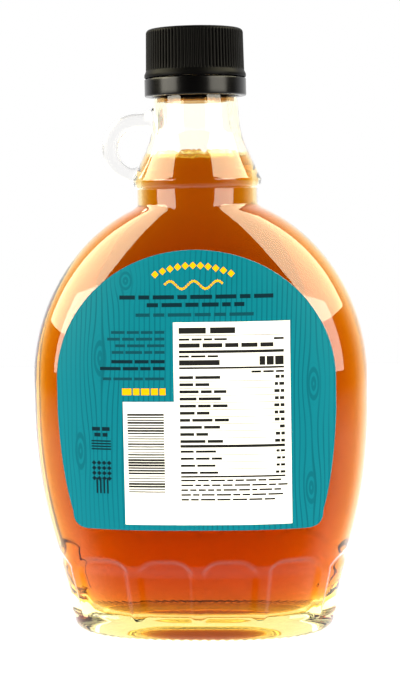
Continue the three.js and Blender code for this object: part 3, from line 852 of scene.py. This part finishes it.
printed("lines_top", *near, navy, -21.4, 101.3, 44.4, 1.15, marks=14, short=2.2, long=6.4, gap=1.0,
        align=0.5)
printed("lines_second", *near, navy, -14.2, 99.1, 29.8, 1.15, marks=10, short=2.2, long=6.4, gap=1.0,
        align=0.5)
printed("lines_third", *near, deep_teal, -16.8, 96.3, 34.4, 0.95, marks=10, short=3.0, long=7.4, gap=1.0,
        align=0.5)
printed("side_lines", *near, deep_teal, -25.0, 91.4, 16.8, 0.8, rows=4, pitch=1.886, marks=5, short=2.2,
        long=5.2, align=1.0)
printed("side_bold", *near, navy, -28.2, 83.1, 20.0, 0.95, rows=2, pitch=1.97, marks=6, short=2.4,
        long=6.4, align=1.0)
printed("side_last", *near, deep_teal, -27.0, 78.2, 18.6, 0.8, marks=6, short=2.4, long=6.2, align=1.0)
printed("side_bright", *near, yellow, -22.4, 74.5, 14.3, 1.9, marks=6, short=1.6, long=2.8, gap=0.5,
        align=1.0)
printed("corner_lines", *near, navy, -30.1, 63.7, 5.8, 1.1, rows=2, pitch=1.7, marks=3, short=1.4,
        long=2.8, align=0.5)
printed("corner_stripes", *near, navy, -30.1, 60.2, 5.8, 0.4, rows=4, pitch=0.78, short=5.8)
printed("corner_beads", *near, navy, -30.1, 53.8, 5.8, 1.0, rows=4, pitch=1.5, marks=4, short=1.0,
        gap=0.5, align=0.5,
        turn=math.pi / 4.0)
printed("corner_bars", *near, navy, -29.0, 47.2, 3.8, 4.6, marks=4, short=0.5, gap=0.55, align=0.5)

far = (plain_label, -1.0)
printed("far_arch", *far, yellow, -12.0, 97.4, 24.0, 1.6, marks=11, short=1.6, gap=0.66, arch=3.0,
        turn=math.pi / 4.0)
printed("far_field", *far, white, -21.0, 72.0, 42.0, 26.0, cuts=36)
printed("far_diamonds", *far, yellow, -17.0, 72.0, 34.0, 6.6, marks=3, short=6.6, gap=4.6, align=0.5,
        lift=0.06,
        turn=math.pi / 4.0, cuts=8)
printed("far_rules", *far, navy, -19.0, 82.6, 38.0, 0.7, rows=2, pitch=21.2, cuts=24, lift=0.06)
printed("far_lines", *far, navy, -15.0, 54.4, 30.0, 1.3, rows=3, pitch=2.6, marks=9, short=2.4, long=7.0,
        gap=1.0, align=0.5)

# The floor, the light and the camera: a flat white floor, two soft boxes to each side, one low and one high,
# and a bright backdrop, with the camera at the height of the waist and turned slightly to the right.
floor_mesh = bpy.data.meshes.new("floor")
floor_mesh.from_pydata([(-1.2, -0.6, 0), (1.2, -0.6, 0), (1.2, 0.7, 0), (-1.2, 0.7, 0)], [], [(0, 1, 2, 3)])
floor = bpy.data.objects.new("floor", floor_mesh)
bpy.context.scene.collection.objects.link(floor)
pale, pale_shader, place = finish_named("pale_floor", {
    "Base Color": (0.55, 0.55, 0.55, 1.0), "Roughness": 0.6, "Emission Strength": 1.0})
across, along, _ = place.parts()
# The floor glows evenly, and brighter in a painted pool of light round the flask's foot.
painted_pool_near_flask = 1.0 - ((across * across + along * along) ** 0.5).ramp(0.08, 0.24)
floor_glow_with_painted_pool = 0.72 + painted_pool_near_flask * 0.5
plug(place.made("ShaderNodeCombineXYZ", None, {0: floor_glow_with_painted_pool, 1: floor_glow_with_painted_pool, 2: floor_glow_with_painted_pool}), pale_shader, "Emission Color")
floor.data.materials.append(pale)
floor.visible_glossy = False

for name, azimuth, elevation, wide, tall, far_off, radiance in (
        ("low_left", -58.0, 14.5, 40.0, 29.0, 1.2, 7.2), ("high_left", -86.0, 33.5, 52.0, 37.0, 1.35, 9.0),
        ("low_right", 57.0, 14.5, 40.0, 29.0, 1.2, 6.6), ("high_right", 85.0, 40.0, 58.0, 36.0, 1.35, 9.0)):
    lamp = bpy.data.lights.new(name, "AREA")
    lamp.shape = "RECTANGLE"
    lamp.size = 2.0 * far_off * math.tan(math.radians(wide / 2.0))
    lamp.size_y = 2.0 * far_off * math.tan(math.radians(tall / 2.0))
    lamp.energy = radiance * math.pi * lamp.size * lamp.size_y
    lamp.color = (1.0, 0.92, 0.62) if elevation > 20.0 else (1.0, 0.95, 0.82)
    box = bpy.data.objects.new(name, lamp)
    turn, rise = math.radians(azimuth), math.radians(elevation)
    toward = Vector((math.sin(turn) * math.cos(rise), -math.cos(turn) * math.cos(rise), math.sin(rise)))
    box.location = toward * far_off + Vector((0.0, 0.0, 0.1))
    box.rotation_euler = (-toward).to_track_quat("-Z", "Y").to_euler()
    box.visible_camera = False
    bpy.context.scene.collection.objects.link(box)

world = bpy.data.worlds.new("white_room")
bpy.context.scene.world = world
world.use_nodes = True
air = Wire(world.node_tree)
_, toward_back, upward = air.made("ShaderNodeTexCoord", None, None, "Generated").parts()
seen = air.made("ShaderNodeLightPath", None, None, "Is Camera Ray")
passed = air.made("ShaderNodeLightPath", None, None, "Is Transmission Ray")
below = (-upward).ramp(0.08, 0.2) * toward_back.ramp(-0.75, -0.3) + (-upward).ramp(0.42, 0.52) * 0.6
reflected = 0.01 + toward_back.ramp(0.1, 0.75) * 1.05 + below * 0.8
steep = (upward * upward).ramp(0.02, 0.6)
through = (0.78 + toward_back.ramp(-0.4, 0.2) * 0.42) * (1.0 - steep * 0.22)
strength = seen + (1.0 - seen) * (passed * through + (1.0 - passed) * reflected)
backdrop = world.node_tree.nodes["Background"]
backdrop.inputs["Color"].default_value = (1.0, 1.0, 1.0, 1.0)
plug(strength, backdrop, "Strength")

image_height, focal_pixels = 680.0, 1600.0
distance, eye_height = 0.4776, 0.13215
yaw, pitch, roll = math.radians(4.5), math.radians(5.43), math.radians(-1.06)
lens = bpy.data.cameras.new("camera")
lens.sensor_fit = "VERTICAL"
lens.sensor_height = 36.0
lens.lens = focal_pixels / image_height * lens.sensor_height
camera = bpy.data.objects.new("camera", lens)
camera.matrix_world = (Matrix.Translation((distance * math.sin(yaw), -distance * math.cos(yaw), eye_height))
                       @ Matrix.Rotation(yaw, 4, "Z") @ Matrix.Rotation(math.pi / 2.0 - pitch, 4, "X")
                       @ Matrix.Rotation(roll, 4, "Z"))
bpy.context.scene.collection.objects.link(camera)
bpy.context.scene.camera = camera
bpy.context.scene.view_settings.view_transform = "Standard"
bpy.context.scene.cycles.max_bounces = 24
bpy.context.scene.cycles.transmission_bounces = 24

bpy.context.view_layer.update()
